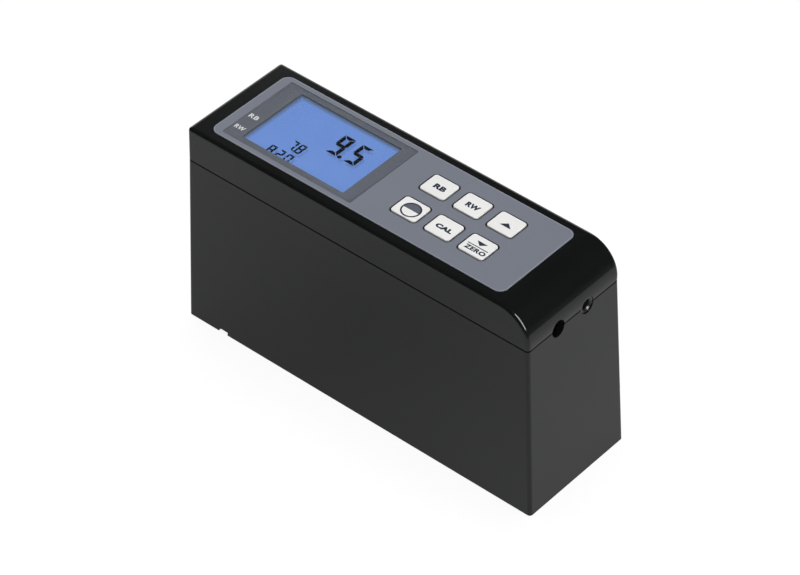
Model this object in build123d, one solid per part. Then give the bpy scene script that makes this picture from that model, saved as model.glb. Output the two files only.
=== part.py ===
from build123d import *
import math
import os

# Hand-held reflectance meter: a tall drafted lower housing, a moulded cover whose end rolls
# down to the parting line, a panel with a display window and six keys, and optics over a
# measuring aperture in the base. Origin: bottom centre. X runs along the meter, the two
# sockets face +X, Z is up. All sizes in millimetres.

# Casing
base_length = 139.9
base_width = 46.0
top_width = 43.4
end_rake = 5.2
parting_height = 63.2
cover_height = 12.6
end_roll_radius = 11.4
edge_radius = 1.2
least_radius = 0.5
wall = 2.2
cover_plate = 2.5

# Parting line: a shadow groove outside, a tongue and a ledge inside
groove_width = 0.5
tongue_height = 1.6
tongue_thickness = 1.0
tongue_clearance = 0.1

# Underside: base plate and battery door set in the rim of the lower housing
rim = 1.2
plate_thickness = 2.5
plate_clearance = 0.15
door_length = 58.0
door_recess = 0.3
door_clearance = 0.3
door_rib_height = 2.2
door_rib_thickness = 1.2
door_rib_y = 18.2
notch_offset = 14.55
notch_width = 3.8
notch_height = 1.2
bulkhead_thickness = 1.6
bulkhead_height = 22.0

# Corner posts for the cover, side bosses for the base plate
post_radius = 3.2
post_bite = 0.4
post_bore_radius = 2.6
right_post_bottom = 14.0
boss_radius = 2.8
boss_height = 12.0
boss_near_split = 6.0
boss_near_end = 14.0

# Panel over the cover
overlay_end_margin = 6.0
overlay_side_margin = 3.7
overlay_roll_gap = 2.15
overlay_radius = 3.0
overlay_thickness = 0.5
overlay_recess = 0.3
panel_fit = 0.1
window_end_margin = 3.5
window_side_margin = 1.9
window_key_gap = 11.0
window_radius = 0.6
mask_thickness = 0.3
mask_left = 6.05
mask_right = 4.8
mask_front = 2.45
mask_back = 2.15
view_radius = 0.5

# Display stack
lcd_drop = 0.3
lcd_margin = 1.0
lcd_fit = 0.15
glass_thickness = 2.8
backlight_thickness = 4.6
strip_width = 1.6
strip_clearance = 0.3
frame_wall = 1.2
frame_clearance = 0.1

# Keys: two rows of three
key_columns = 3
key_end_margin = 18.3
key_pitch_x = 13.03
key_front_y = -6.4
key_pitch_y = 13.55
key_length = 9.5
key_width = 8.4
key_radius = 1.1
key_edge_round = 0.3
key_stand = 0.35
key_gap = 0.42
key_guide = 0.3
key_flange = 0.8
key_flange_thickness = 0.9
key_flange_drop = 0.1
key_stem_radius = 1.6
key_travel = 0.55
key_stop_gap = 0.1

# Main board and what it carries
board_thickness = 1.6
board_drop = 6.3
board_end_gap = 8.0
board_socket_gap = 1.7
board_side_gap = 2.0
board_notch_length = 3.0
board_notch_width = 7.0
switch_size = 6.0
switch_height = 3.0
switch_button_radius = 1.5
standoff_radius = 2.5
standoff_inset = 2.8

# Sockets in the end face, centred on the parting line
socket_hole_radius = 2.9
power_y = -7.4
jack_y = 6.4
socket_body_width = 9.0
socket_body_length = 11.5
socket_body_height = 9.0
socket_setback = 0.6
socket_bevel = 1.6
power_bore_radius = 2.75
power_bore_depth = 9.5
power_pin_radius = 1.0
power_pin_length = 6.5
jack_collar_radius = 2.75
jack_bore_radius = 1.75
jack_bore_depth = 12.0
jack_setback = 0.2
jack_bevel = 0.5
connector_board_length = 13.0
connector_board_width = 24.0
shelf_width = 29.0
shelf_boss_depth = 4.0
shelf_boss_radius = 2.6

# Optics over the measuring aperture
aperture_offset = 34.0
aperture_radius = 8.0
ring_radius = 11.0
ring_depth = 1.5
ring_fit = 0.05
ring_bevel = 1.2
block_length = 58.0
block_width = 30.0
block_foot = 3.0
block_corner = 3.0
chamber_size = 26.0
chamber_height = 16.0
barrel_radius = 8.0
barrel_bore = 5.5
lamp_barrel_top = 42.0
sensor_barrel_start = 8.0
sensor_barrel_end = 33.0
sensor_angle = 45.0
lens_radius = 5.45
lens_thickness = 3.0
lens_seat_z = 30.0
filter_thickness = 1.5
filter_distance = 26.0
sensor_radius = 4.0
sensor_length = 4.0
lamp_radius = 2.5
lamp_length = 8.0
lamp_flange_radius = 3.2
lamp_flange = 1.0
lamp_board_size = 20.0
block_screw_x = 25.0
block_screw_y = 12.0

# Battery compartment
cell_radius = 7.1
cell_length = 49.5
cell_tip_radius = 2.6
cell_tip = 1.0
cell_spacing = 15.2
cell_clearance = 0.4
holder_wall = 1.2
holder_fit = 0.25
snap_depth = 0.8
snap_height = 1.2
snap_length = 24.0
contact_thickness = 0.4
contact_width = 8.0
contact_height = 9.0
contact_room = 1.1
lead_radius = 0.6
lead_bend = 3.0
lead_shift = 4.0
lead_inset = 4.5
lead_spacing = 3.0

# Components under the main board: place from its -X end, y, length, width and depth of each
board_blocks = [
    (54.0, 2.0, 12.0, 12.0, 1.6),
    (36.0, -6.0, 9.0, 6.0, 1.5),
    (36.0, 6.0, 9.0, 6.0, 1.5),
    (72.0, 9.0, 6.0, 5.0, 1.4),
    (18.0, 0.0, 7.0, 14.0, 5.0),
    (76.0, -9.0, 11.0, 4.5, 3.6),
]
capacitor_radius = 2.5
capacitor_round = 0.4
capacitor_depth = 7.0
capacitor_places = [(26.0, 11.0), (26.0, -11.0), (92.0, -10.0)]

# Screws
case_screw_radius = 1.25
case_screw_head_radius = 2.3
case_screw_head = 1.6
case_screw_length = 10.0
case_screw_below_joint = 7.0
base_screw_length = 7.0
board_screw_length = 4.0
small_screw_radius = 1.0
small_screw_head_radius = 1.9
small_screw_head = 1.2
lamp_screw_radius = 0.75
lamp_screw_head_radius = 1.2
lamp_screw_head = 0.8
drive_slot_width = 0.6
drive_slot_depth = 0.7
thread_clearance = 0.05

# Flat cable from the main board to the connector board
cable_thickness = 0.5
cable_width = 12.0
cable_inset = 3.0
cable_bend = 1.6
cable_landing = 3.5
sensor_cable_width = 10.0

# Largest angle between an axis and an edge that counts as running along it
along_angle = 25.0

# Heights and places that follow from the sizes above
half_length = base_length / 2
end_x = half_length - end_rake
cover_top = parting_height + cover_height
cover_underside = cover_top - cover_plate
panel_floor = cover_top - overlay_recess
panel_top = panel_floor + overlay_thickness
mask_floor = panel_floor - mask_thickness
lcd_top = mask_floor - lcd_drop
lcd_bottom = lcd_top - glass_thickness
board_top = cover_underside - board_drop
board_bottom = board_top - board_thickness
key_bottom = cover_underside - key_flange_drop - key_flange_thickness
switch_top = key_bottom - key_travel - key_stop_gap
ledge_height = parting_height + tongue_height
post_inset = wall + post_radius - post_bite
post_x_left = -half_length + post_inset
post_x_right = end_x - post_inset
post_y = top_width / 2 - post_inset
boss_y = base_width / 2 - wall - boss_radius + post_bite
plate_split_x = -half_length + door_length
notch_x = -half_length + notch_offset
boss_x_split = plate_split_x + boss_near_split
boss_x_end = end_x - boss_near_end
connector_board_top = parting_height - socket_body_height / 2
connector_board_bottom = connector_board_top - board_thickness
inner_end_x = end_x - wall
socket_front = inner_end_x - socket_setback
socket_back = socket_front - socket_body_length
board_left_x = -half_length + board_end_gap
board_right_x = socket_back - board_socket_gap
board_width = top_width - 2 * (wall + board_side_gap)
standoff_y = board_width / 2 - standoff_inset
cable_x = board_right_x - cable_inset
shelf_screw_place = (socket_back + socket_body_length / 2, (power_y + jack_y) / 2)
screw_seat = case_screw_head + door_recess
base_screw_tip = screw_seat + base_screw_length
cell_centre_z = plate_thickness + cell_clearance + cell_radius
holder_roof = cell_centre_z + cell_radius + cell_clearance
holder_top = holder_roof + holder_wall
cell_room = cell_length + cell_tip + 2 * contact_room
battery_right_x = plate_split_x - holder_fit - holder_wall
battery_left_x = battery_right_x - cell_room
battery_centre_x = (battery_left_x + battery_right_x) / 2
lead_x = plate_split_x - lead_inset
aperture_x = plate_split_x + aperture_offset
overlay_left_x = -half_length + overlay_end_margin
overlay_right_x = end_x - end_roll_radius - overlay_roll_gap
overlay_width = top_width - 2 * overlay_side_margin
key_first_x = overlay_right_x - key_end_margin - (key_columns - 1) * key_pitch_x
window_left_x = overlay_left_x + window_end_margin
window_right_x = key_first_x - key_length / 2 - window_key_gap
window_width = overlay_width - 2 * window_side_margin
view_left_x = window_left_x + mask_left
view_right_x = window_right_x - mask_right
view_front_y = -window_width / 2 + mask_front
view_back_y = window_width / 2 - mask_back
view_centre = ((view_left_x + view_right_x) / 2, (view_front_y + view_back_y) / 2)
view_size = (view_right_x - view_left_x, view_back_y - view_front_y)
glass_size = (view_size[0] + 2 * lcd_margin, view_size[1] + 2 * lcd_margin)
key_names = [["key_contrast", "key_cal", "key_zero"], ["key_rb", "key_rw", "key_up"]]


def block(x_range, y_range, z_range):
    """A box between two values along each axis."""
    size = [high - low for low, high in (x_range, y_range, z_range)]
    middle = [(high + low) / 2 for low, high in (x_range, y_range, z_range)]
    return Pos(*middle) * Box(*size)


def upright(radius, x, y, bottom, top):
    """An upright cylinder between two heights."""
    return Pos(x, y, (bottom + top) / 2) * Cylinder(radius, top - bottom)


def along_x(radius, y, z, start, end):
    """A cylinder that lies along X between two places."""
    return Pos((start + end) / 2, y, z) * Rot(0, 90, 0) * Cylinder(radius, end - start)


def plate(centre, size, radius, bottom, top):
    """A flat plate with rounded corners between two heights."""
    outline = RectangleRounded(size[0], size[1], radius)
    return Pos(centre[0], centre[1], bottom) * extrude(outline, amount=top - bottom)


def side_profile(points):
    """A face in the XZ plane through points given as (x, z)."""
    return Plane.XZ * make_face(Polyline(*points, close=True))


def runs_along(edge, axis):
    """Whether an edge runs nearly along an axis named by its letter."""
    return abs(getattr(edge.tangent_at(0.5), axis)) > math.cos(math.radians(along_angle))


def round_uprights(solid, radius):
    """Rounds the edges that run up the four corners of a body."""
    edges = [edge for edge in solid.edges() if runs_along(edge, "Z")]
    return fillet(edges, radius)


def housing_body(inset):
    """The solid form of the lower housing, shrunk sideways by an inset, with leaning sides."""
    left = -half_length + inset
    side = side_profile([
        (left, 0),
        (half_length - inset, 0),
        (end_x - inset, parting_height),
        (left, parting_height),
    ])
    low = base_width / 2 - inset
    high = top_width / 2 - inset
    cross = Plane.YZ * make_face(Polyline(
        (-low, 0),
        (low, 0),
        (high, parting_height),
        (-high, parting_height),
        close=True,
    ))
    body = extrude(side, amount=base_width, both=True)
    body &= extrude(cross, amount=base_length, both=True)
    return round_uprights(body, max(edge_radius - inset, least_radius))


def cover_body(inset, top_inset):
    """The solid form of the cover: flat on top, rolled down at its +X end."""
    left = -half_length + inset
    right = end_x - inset
    top = cover_top - top_inset
    radius = end_roll_radius - min(inset, top_inset)
    outline = Polyline(
        (right, top - radius),
        (right, parting_height),
        (left, parting_height),
        (left, top),
        (right - radius, top),
    )
    roll = CenterArc((right - radius, top - radius), radius, 0, 90)
    side = Plane.XZ * make_face(outline + roll)
    return extrude(side, amount=top_width / 2 - inset, both=True)


def parting_prism(inset, bottom, top):
    """An upright prism on the outline that housing and cover share at the parting line."""
    left = -half_length + inset
    right = end_x - inset
    size = (right - left, top_width - 2 * inset)
    radius = max(edge_radius - inset, least_radius)
    return plate(((left + right) / 2, 0), size, radius, bottom, top)


def corner_posts(bottom_left, bottom_right, top):
    """Four corner posts, each with a square web out to the walls."""
    posts = Part()
    for x, bottom in ((post_x_left, bottom_left), (post_x_right, bottom_right)):
        outer_x = math.copysign(half_length, x)
        for side in (-1, 1):
            y = side * post_y
            posts += upright(post_radius, x, y, bottom, top)
            posts += block(sorted((x, outer_x)), sorted((y, side * base_width)), (bottom, top))
    return posts


def base_bosses():
    """Four bosses by the long walls that take the base plate's screws."""
    bosses = Part()
    for x in (boss_x_split, boss_x_end):
        for side in (-1, 1):
            y = side * boss_y
            bosses += upright(boss_radius, x, y, plate_thickness, boss_height)
            web = (x - boss_radius, x + boss_radius)
            bosses += block(web, sorted((y, side * base_width)), (plate_thickness, boss_height))
    return bosses


def socket_holes():
    """The two round holes through the end wall, half in each moulding."""
    start = inner_end_x - wall
    holes = Part()
    for y in (power_y, jack_y):
        holes += along_x(socket_hole_radius, y, parting_height, start, half_length)
    return holes


def lower_housing():
    """The lower shell: leaning walls, rim, ledge, bulkhead, posts, bosses and tongue."""
    outer = housing_body(0)
    shell = outer - housing_body(wall)
    lower_half = parting_height - groove_width / 2
    inner_parts = corner_posts(holder_top, right_post_bottom, lower_half)
    inner_parts += base_bosses()
    inner_parts += block(
        (plate_split_x, plate_split_x + bulkhead_thickness),
        (-base_width, base_width),
        (plate_thickness, bulkhead_height),
    )
    inner_parts += block(
        (inner_end_x - connector_board_length, half_length),
        (-shelf_width / 2, shelf_width / 2),
        (connector_board_bottom - wall, connector_board_bottom),
    )
    x, y = shelf_screw_place
    shelf_boss_bottom = connector_board_bottom - wall - shelf_boss_depth
    inner_parts += upright(shelf_boss_radius, x, y, shelf_boss_bottom, connector_board_bottom)
    for side in (-1, 1):
        inner_parts += holder_snap(side)
    shell += inner_parts & housing_body(wall / 2)
    shell -= upright(small_screw_radius + thread_clearance, x, y, 0, parting_height)
    shell -= block(
        (-base_length, base_length),
        (-base_width, base_width),
        (lower_half, cover_top),
    )
    tongue = parting_prism(tongue_thickness + tongue_clearance, lower_half - wall, ledge_height)
    tongue -= parting_prism(wall, 0, cover_top)
    shell += tongue
    shell -= base_pocket(0, plate_thickness)
    for x, bottom in ((post_x_left, holder_top), (post_x_right, right_post_bottom)):
        for side in (-1, 1):
            head = parting_height - case_screw_below_joint
            shell -= upright(post_bore_radius, x, side * post_y, bottom, head)
            shank = case_screw_radius + 2 * thread_clearance
            shell -= upright(shank, x, side * post_y, head, cover_top)
    for x in (boss_x_split, boss_x_end):
        for side in (-1, 1):
            hole = case_screw_radius + thread_clearance
            shell -= upright(hole, x, side * boss_y, 0, base_screw_tip + wall / 2)
    shell -= socket_holes()
    shell -= block(
        (notch_x - notch_width / 2, notch_x + notch_width / 2),
        (-base_width, -base_width / 2 + rim + wall),
        (-wall, notch_height),
    )
    return shell


def holder_snap(side):
    """A rib on a long wall that the battery holder's roof snaps over."""
    lean = (base_width - top_width) / 2 * holder_roof / parting_height
    inner = base_width / 2 - wall - lean - snap_depth
    reach = (battery_centre_x - snap_length / 2, battery_centre_x + snap_length / 2)
    across = sorted((side * inner, side * base_width / 2))
    return block(reach, across, (holder_roof - snap_height, holder_roof))


def base_pocket(inset, top):
    """The pocket in the rim that the base plate and the battery door lie in."""
    inset = rim + inset
    radius = max(edge_radius - inset, least_radius)
    size = (base_length - 2 * inset, base_width - 2 * inset)
    return plate((0, 0), size, radius, 0, top)


def rounded_cover():
    """The cover's outer form with every edge above the parting line rounded."""
    body = cover_body(0, 0)
    edges = []
    for edge in body.edges():
        if edge.bounding_box().max.Z > parting_height + groove_width:
            at_roll = edge.center().X > 0 and runs_along(edge, "Y")
            if not at_roll:
                edges.append(edge)
    return fillet(edges, edge_radius)


def board_mounts():
    """Places of the main board's screws."""
    left = (window_left_x, standoff_y - board_notch_width)
    middle = ((window_right_x + key_first_x - key_length / 2) / 2, standoff_y)
    right = (board_right_x - standoff_radius - board_thickness, standoff_y)
    return [(x, side * y) for x, y in (left, middle, right) for side in (-1, 1)]


def top_cover():
    """The cover: shell, window and key openings, panel recess, standoffs and posts."""
    shell = rounded_cover() - cover_body(wall, cover_plate)
    posts = corner_posts(parting_height, parting_height, cover_top)
    shell += posts & cover_body(wall / 2, cover_plate / 2)
    for x, y in board_mounts():
        shell += upright(standoff_radius, x, y, board_top, cover_top - overlay_recess)
    shell -= parting_prism(tongue_thickness, 0, ledge_height)
    shell -= block(
        (-base_length, base_length),
        (-base_width, base_width),
        (0, parting_height + groove_width / 2),
    )
    shell += corner_posts(
        parting_height - groove_width / 2,
        parting_height - groove_width / 2,
        ledge_height,
    ) & parting_prism(wall + tongue_clearance, 0, ledge_height)
    shell -= overlay_outline(panel_fit, panel_floor, panel_top)
    shell -= window_outline(panel_fit, mask_floor, panel_top)
    opening = [side + 2 * lcd_fit for side in glass_size]
    shell -= plate(view_centre, opening, view_radius, board_top, cover_top)
    for x, y, _ in key_places():
        shell -= key_outline(x, y, key_guide, board_top, cover_top)
    for x in (post_x_left, post_x_right):
        for side in (-1, 1):
            tip = parting_height - case_screw_below_joint + case_screw_length
            hole = case_screw_radius + thread_clearance
            shell -= upright(hole, x, side * post_y, 0, tip + wall / 2)
    for x, y in board_mounts():
        tip = board_bottom + board_screw_length
        shell -= upright(small_screw_radius + thread_clearance, x, y, 0, tip + wall / 2)
    return shell - socket_holes()


def overlay_outline(grow, bottom, top):
    """The outline of the grey panel, grown all round by a clearance."""
    centre = ((overlay_left_x + overlay_right_x) / 2, 0)
    size = (overlay_right_x - overlay_left_x + 2 * grow, overlay_width + 2 * grow)
    return plate(centre, size, overlay_radius + grow, bottom, top)


def window_outline(grow, bottom, top):
    """The outline of the window and its mask, grown all round by a clearance."""
    centre = ((window_left_x + window_right_x) / 2, 0)
    size = (window_right_x - window_left_x + 2 * grow, window_width + 2 * grow)
    return plate(centre, size, window_radius + grow, bottom, top)


def key_outline(x, y, grow, bottom, top):
    """The outline of one key, grown all round."""
    size = (key_length + 2 * grow, key_width + 2 * grow)
    return plate((x, y), size, key_radius + grow, bottom, top)


def key_places():
    """Centre and node name of each key."""
    places = []
    for row, names in enumerate(key_names):
        for column in range(key_columns):
            x = key_first_x + column * key_pitch_x
            y = key_front_y + row * key_pitch_y
            places.append((x, y, names[column]))
    return places


def front_overlay():
    """The grey panel with its openings for the window and the keys."""
    panel = overlay_outline(0, panel_floor, panel_top)
    panel -= window_outline(panel_fit, 0, panel_top)
    for x, y, _ in key_places():
        panel -= key_outline(x, y, key_gap, 0, panel_top)
    return panel


def display_window():
    """The clear window, flush with the panel round it."""
    return window_outline(0, panel_floor, panel_top)


def display_mask():
    """The dark frame bonded under the window."""
    mask = window_outline(0, mask_floor, panel_floor)
    return mask - plate(view_centre, view_size, view_radius, 0, panel_top)


def key_cap(x, y):
    """One key: rounded cap, a flange that keeps it in and a stem over its switch."""
    flange_top = cover_underside - key_flange_drop
    flange_bottom = flange_top - key_flange_thickness
    cap = key_outline(x, y, 0, flange_bottom, panel_top + key_stand)
    cap = fillet(cap.faces().sort_by(Axis.Z)[-1].edges(), key_edge_round)
    cap += key_outline(x, y, key_flange, flange_bottom, flange_top)
    hollow = key_outline(x, y, -key_flange, flange_bottom, flange_top)
    stem = upright(key_stem_radius, x, y, flange_bottom, flange_top)
    return cap - hollow + stem


def lcd_glass():
    """The display: two sheets of glass as one slab."""
    return plate(view_centre, glass_size, view_radius, lcd_bottom, lcd_top)


def lcd_inner_width():
    """Width between the two contact strips under the display glass."""
    return glass_size[1] - 2 * (strip_width + 2 * strip_clearance)


def lcd_backlight():
    """The light guide under the display."""
    size = (glass_size[0] - 2 * lcd_margin, lcd_inner_width())
    return plate(view_centre, size, view_radius, lcd_bottom - backlight_thickness, lcd_bottom)


def lcd_connectors():
    """Two rubber contact strips between the display glass and the board."""
    strips = []
    length = glass_size[0] - 2 * lcd_margin
    reach = (view_centre[0] - length / 2, view_centre[0] + length / 2)
    for side in (-1, 1):
        outer = side * (glass_size[1] / 2 - strip_clearance)
        middle = view_centre[1] + outer - side * strip_width / 2
        across = (middle - strip_width / 2, middle + strip_width / 2)
        strips.append(block(reach, across, (board_top, lcd_bottom)))
    return Compound(children=strips)


def lcd_frame():
    """The frame on the board that the display stands in, closed above by the cover."""
    outer = [side + 2 * (frame_clearance + frame_wall) for side in glass_size]
    inner = [side + 2 * frame_clearance for side in glass_size]
    frame = plate(view_centre, outer, view_radius, board_top, cover_underside)
    return frame - plate(view_centre, inner, view_radius, 0, cover_top)


def main_board():
    """The circuit board under the cover, notched round the corner posts."""
    half = board_width / 2
    board = block((board_left_x, board_right_x), (-half, half), (board_bottom, board_top))
    for side in (-1, 1):
        notch = (board_left_x, board_left_x + board_notch_length)
        corner = sorted((side * half, side * (half - board_notch_width)))
        board -= block(notch, corner, (board_bottom, board_top))
    for x, y in board_mounts():
        board -= upright(small_screw_radius + thread_clearance, x, y, 0, cover_top)
    return board


def key_switches():
    """One push switch under each key, short of its stem by the key's travel."""
    switches = []
    for x, y, _ in key_places():
        half = switch_size / 2
        case = block((x - half, x + half), (y - half, y + half), (board_top, board_top + switch_height))
        switches.append(case + upright(switch_button_radius, x, y, board_top, switch_top))
    return Compound(children=switches)


def screw(radius, length, head_radius, head_height):
    """A slotted pan-head screw with its head's seat at height 0 and its shank upwards."""
    body = upright(radius, 0, 0, 0, length)
    body += upright(head_radius, 0, 0, -head_height, 0)
    slot = block(
        (-head_radius, head_radius),
        (-drive_slot_width / 2, drive_slot_width / 2),
        (-head_height, -head_height + drive_slot_depth),
    )
    return body - slot


def board_screws():
    """The screws that hold the main board to the cover's standoffs."""
    one = screw(small_screw_radius, board_screw_length, small_screw_head_radius, small_screw_head)
    return Compound(children=[Pos(x, y, board_bottom) * one for x, y in board_mounts()])


def cover_screws():
    """Four screws driven up through the corner posts into the cover."""
    one = screw(case_screw_radius, case_screw_length, case_screw_head_radius, case_screw_head)
    seat = parting_height - case_screw_below_joint
    places = [(x, side * post_y) for x in (post_x_left, post_x_right) for side in (-1, 1)]
    return Compound(children=[Pos(x, y, seat) * one for x, y in places])


def base_screws():
    """Four sunk screws that hold the base plate to the housing's bosses."""
    one = screw(case_screw_radius, base_screw_length, case_screw_head_radius, case_screw_head)
    places = [(x, side * boss_y) for x in (boss_x_split, boss_x_end) for side in (-1, 1)]
    return Compound(children=[Pos(x, y, screw_seat) * one for x, y in places])


def base_plate():
    """The flat plate that stands on the sample, with the aperture and its screw holes."""
    body = base_pocket(plate_clearance, plate_thickness)
    body &= block((plate_split_x, half_length), (-base_width, base_width), (0, plate_thickness))
    body -= upright(ring_radius + ring_fit, aperture_x, 0, plate_thickness - ring_depth, plate_thickness)
    body -= upright(aperture_radius + ring_bevel, aperture_x, 0, 0, plate_thickness)
    for x in (boss_x_split, boss_x_end):
        for side in (-1, 1):
            y = side * boss_y
            body -= upright(case_screw_head_radius + plate_clearance, x, y, 0, screw_seat)
            body -= upright(case_screw_radius + plate_clearance, x, y, 0, plate_thickness)
    for x, y in block_screw_places():
        head_radius = small_screw_head_radius + plate_clearance
        body -= upright(head_radius, x, y, 0, small_screw_head + door_recess)
        body -= upright(small_screw_radius + plate_clearance, x, y, 0, plate_thickness)
    return body


def aperture_ring():
    """The stepped insert that sets the measured spot."""
    flange = upright(ring_radius, aperture_x, 0, plate_thickness - ring_depth, plate_thickness)
    nose_radius = aperture_radius + ring_bevel - ring_fit
    nose = upright(nose_radius, aperture_x, 0, door_recess, plate_thickness)
    hole = upright(aperture_radius, aperture_x, 0, 0, plate_thickness)
    ring = flange + nose - hole
    rim_edge = ring.faces().sort_by(Axis.Z)[0].inner_wires()[0].edges()
    return chamfer(rim_edge, ring_bevel / 2)


def block_screw_places():
    """Places of the screws between base plate and optics block."""
    return [
        (aperture_x + end * block_screw_x, side * block_screw_y)
        for end in (-1, 1)
        for side in (-1, 1)
    ]


def tilted(solid, side):
    """Turns an upright solid about the measured spot to one sensor's axis."""
    return Pos(aperture_x, 0, 0) * Rot(0, side * sensor_angle, 0) * solid


def optics_block():
    """The optics casting: foot, mixing chamber, lamp barrel and two inclined sensor barrels."""
    foot_top = plate_thickness + block_foot
    body = plate((aperture_x, 0), (block_length, block_width), block_corner, plate_thickness, foot_top)
    half = chamber_size / 2
    body += block(
        (aperture_x - half, aperture_x + half),
        (-half, half),
        (plate_thickness, plate_thickness + chamber_height),
    )
    body += upright(barrel_radius, aperture_x, 0, plate_thickness, lamp_barrel_top)
    for side in (-1, 1):
        body += tilted(upright(barrel_radius, 0, 0, sensor_barrel_start, sensor_barrel_end), side)
    below = block((-base_length, base_length), (-base_width, base_width), (-base_width, plate_thickness))
    body -= below
    body -= upright(aperture_radius, aperture_x, 0, 0, chamber_height - wall)
    body -= upright(barrel_bore, aperture_x, 0, 0, lamp_barrel_top)
    for side in (-1, 1):
        body -= tilted(upright(barrel_bore, 0, 0, 0, sensor_barrel_end), side)
    for x, y in block_screw_places():
        body -= upright(small_screw_radius + thread_clearance, x, y, 0, foot_top)
    for x, y in lamp_screw_places():
        tip = lamp_barrel_top + board_thickness - board_screw_length
        hole = lamp_screw_radius + thread_clearance
        body -= upright(hole, x, y, tip - wall / 2, lamp_barrel_top)
    return body


def optics_screws():
    """Small screws up through the base plate into the optics block's foot."""
    one = screw(small_screw_radius, board_screw_length, small_screw_head_radius, small_screw_head)
    seat = small_screw_head + door_recess
    return Compound(children=[Pos(x, y, seat) * one for x, y in block_screw_places()])


def lamp_lens():
    """A lens, flat below and domed above, held in the lamp barrel."""
    rise = lens_thickness / 2
    sphere_radius = (lens_radius ** 2 + rise ** 2) / (2 * rise)
    dome = Pos(0, 0, lens_thickness - sphere_radius) * Sphere(sphere_radius)
    body = upright(lens_radius, 0, 0, 0, lens_thickness) & dome
    return Pos(aperture_x, 0, lens_seat_z) * body


def lamp():
    """The lamp: a domed bulb on a flange, hanging from its board into the barrel."""
    straight = lamp_length - lamp_radius
    body = upright(lamp_radius, 0, 0, -straight, 0)
    body += Pos(0, 0, -straight) * Sphere(lamp_radius)
    body += upright(lamp_flange_radius, 0, 0, -lamp_flange, 0)
    return Pos(aperture_x, 0, lamp_barrel_top) * body


def lamp_board():
    """The small board on the lamp barrel that carries the lamp."""
    size = (lamp_board_size, lamp_board_size)
    top = lamp_barrel_top + board_thickness
    board = plate((aperture_x, 0), size, block_corner, lamp_barrel_top, top)
    for x, y in lamp_screw_places():
        board -= upright(lamp_screw_radius + thread_clearance, x, y, 0, top)
    return board


def lamp_screw_places():
    """Places of the two screws in the wall of the lamp barrel."""
    reach = (barrel_radius + barrel_bore) / 2
    return [(aperture_x, side * reach) for side in (-1, 1)]


def lamp_screws():
    """Two small screws down through the lamp board into the barrel's wall."""
    one = screw(lamp_screw_radius, board_screw_length, lamp_screw_head_radius, lamp_screw_head)
    top = lamp_barrel_top + board_thickness
    return Compound(children=[Pos(x, y, top) * Rot(180, 0, 0) * one for x, y in lamp_screw_places()])


def sensor_filters():
    """A colour-correcting filter disc in each inclined barrel."""
    discs = []
    for side in (-1, 1):
        disc = upright(lens_radius, 0, 0, filter_distance, filter_distance + filter_thickness)
        discs.append(tilted(disc, side))
    return Compound(children=discs)


def light_sensors():
    """A cap-shaped sensor with a flange at the end of each inclined barrel."""
    sensors = []
    for side in (-1, 1):
        can = upright(sensor_radius, 0, 0, sensor_barrel_end - sensor_length, sensor_barrel_end)
        can += upright(barrel_radius, 0, 0, sensor_barrel_end, sensor_barrel_end + board_thickness)
        sensors.append(tilted(can, side))
    return Compound(children=sensors)


def socket_shell(y):
    """The moulded body that both sockets share, bevelled clear of the rolled cover."""
    half = socket_body_width / 2
    top = connector_board_top + socket_body_height
    body = block((socket_back, socket_front), (y - half, y + half), (connector_board_top, top))
    edge = body.edges().filter_by(Axis.Y).sort_by(Axis.X)[-2:].sort_by(Axis.Z)[-1]
    return chamfer(edge, socket_bevel)


def power_socket():
    """The power inlet: a moulded body with a deep bore and a centre pin."""
    z = parting_height
    bore_end = socket_front - power_bore_depth
    body = socket_shell(power_y) - along_x(power_bore_radius, power_y, z, bore_end, socket_front)
    return body + along_x(power_pin_radius, power_y, z, bore_end, bore_end + power_pin_length)


def serial_jack():
    """The data jack: a body behind the wall and a collar that fills the hole."""
    z = parting_height
    mouth = end_x - jack_setback
    collar = along_x(jack_collar_radius, jack_y, z, socket_front, mouth)
    collar -= along_x(jack_bore_radius, jack_y, z, socket_front, mouth)
    mouth_edges = collar.faces().sort_by(Axis.X)[-1].inner_wires()[0].edges()
    collar = chamfer(mouth_edges, jack_bevel)
    bore = along_x(jack_bore_radius, jack_y, z, mouth - jack_bore_depth, mouth)
    return socket_shell(jack_y) - bore + collar


def connector_board():
    """The board behind the end wall that carries both sockets."""
    right = inner_end_x - tongue_clearance
    half = connector_board_width / 2
    board = block(
        (right - connector_board_length, right),
        (-half, half),
        (connector_board_bottom, connector_board_top),
    )
    x, y = shelf_screw_place
    return board - upright(small_screw_radius + thread_clearance, x, y, 0, parting_height)


def connector_screw():
    """The screw between the two sockets that holds their board to the shelf."""
    one = screw(small_screw_radius, board_screw_length, small_screw_head_radius, small_screw_head)
    x, y = shelf_screw_place
    return Pos(x, y, connector_board_top) * Rot(180, 0, 0) * one


def battery_holder():
    """The tray over the cells: roof, end walls, skirts and a rib between the cells."""
    roof = housing_body(wall + holder_fit)
    roof &= block(
        (-base_length, plate_split_x - holder_fit),
        (-base_width, base_width),
        (holder_roof, holder_top),
    )
    skirt = cell_spacing / 2 + cell_radius + cell_clearance
    outer = block(
        (battery_left_x - holder_wall, plate_split_x - holder_fit),
        (-skirt - holder_wall, skirt + holder_wall),
        (plate_thickness + cell_clearance, holder_roof),
    )
    outer -= block((battery_left_x, battery_right_x), (-skirt, skirt), (0, holder_roof))
    return roof + outer


def battery_cells():
    """Two round cells side by side, laid opposite ways."""
    cells = []
    for side in (-1, 1):
        y = side * cell_spacing / 2
        start = battery_centre_x - side * (cell_length + cell_tip) / 2
        middle = start + side * cell_length
        ends = sorted((start, middle))
        cell = along_x(cell_radius, y, cell_centre_z, *ends)
        tip = sorted((middle, middle + side * cell_tip))
        cells.append(cell + along_x(cell_tip_radius, y, cell_centre_z, *tip))
    return Compound(children=cells)


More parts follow.
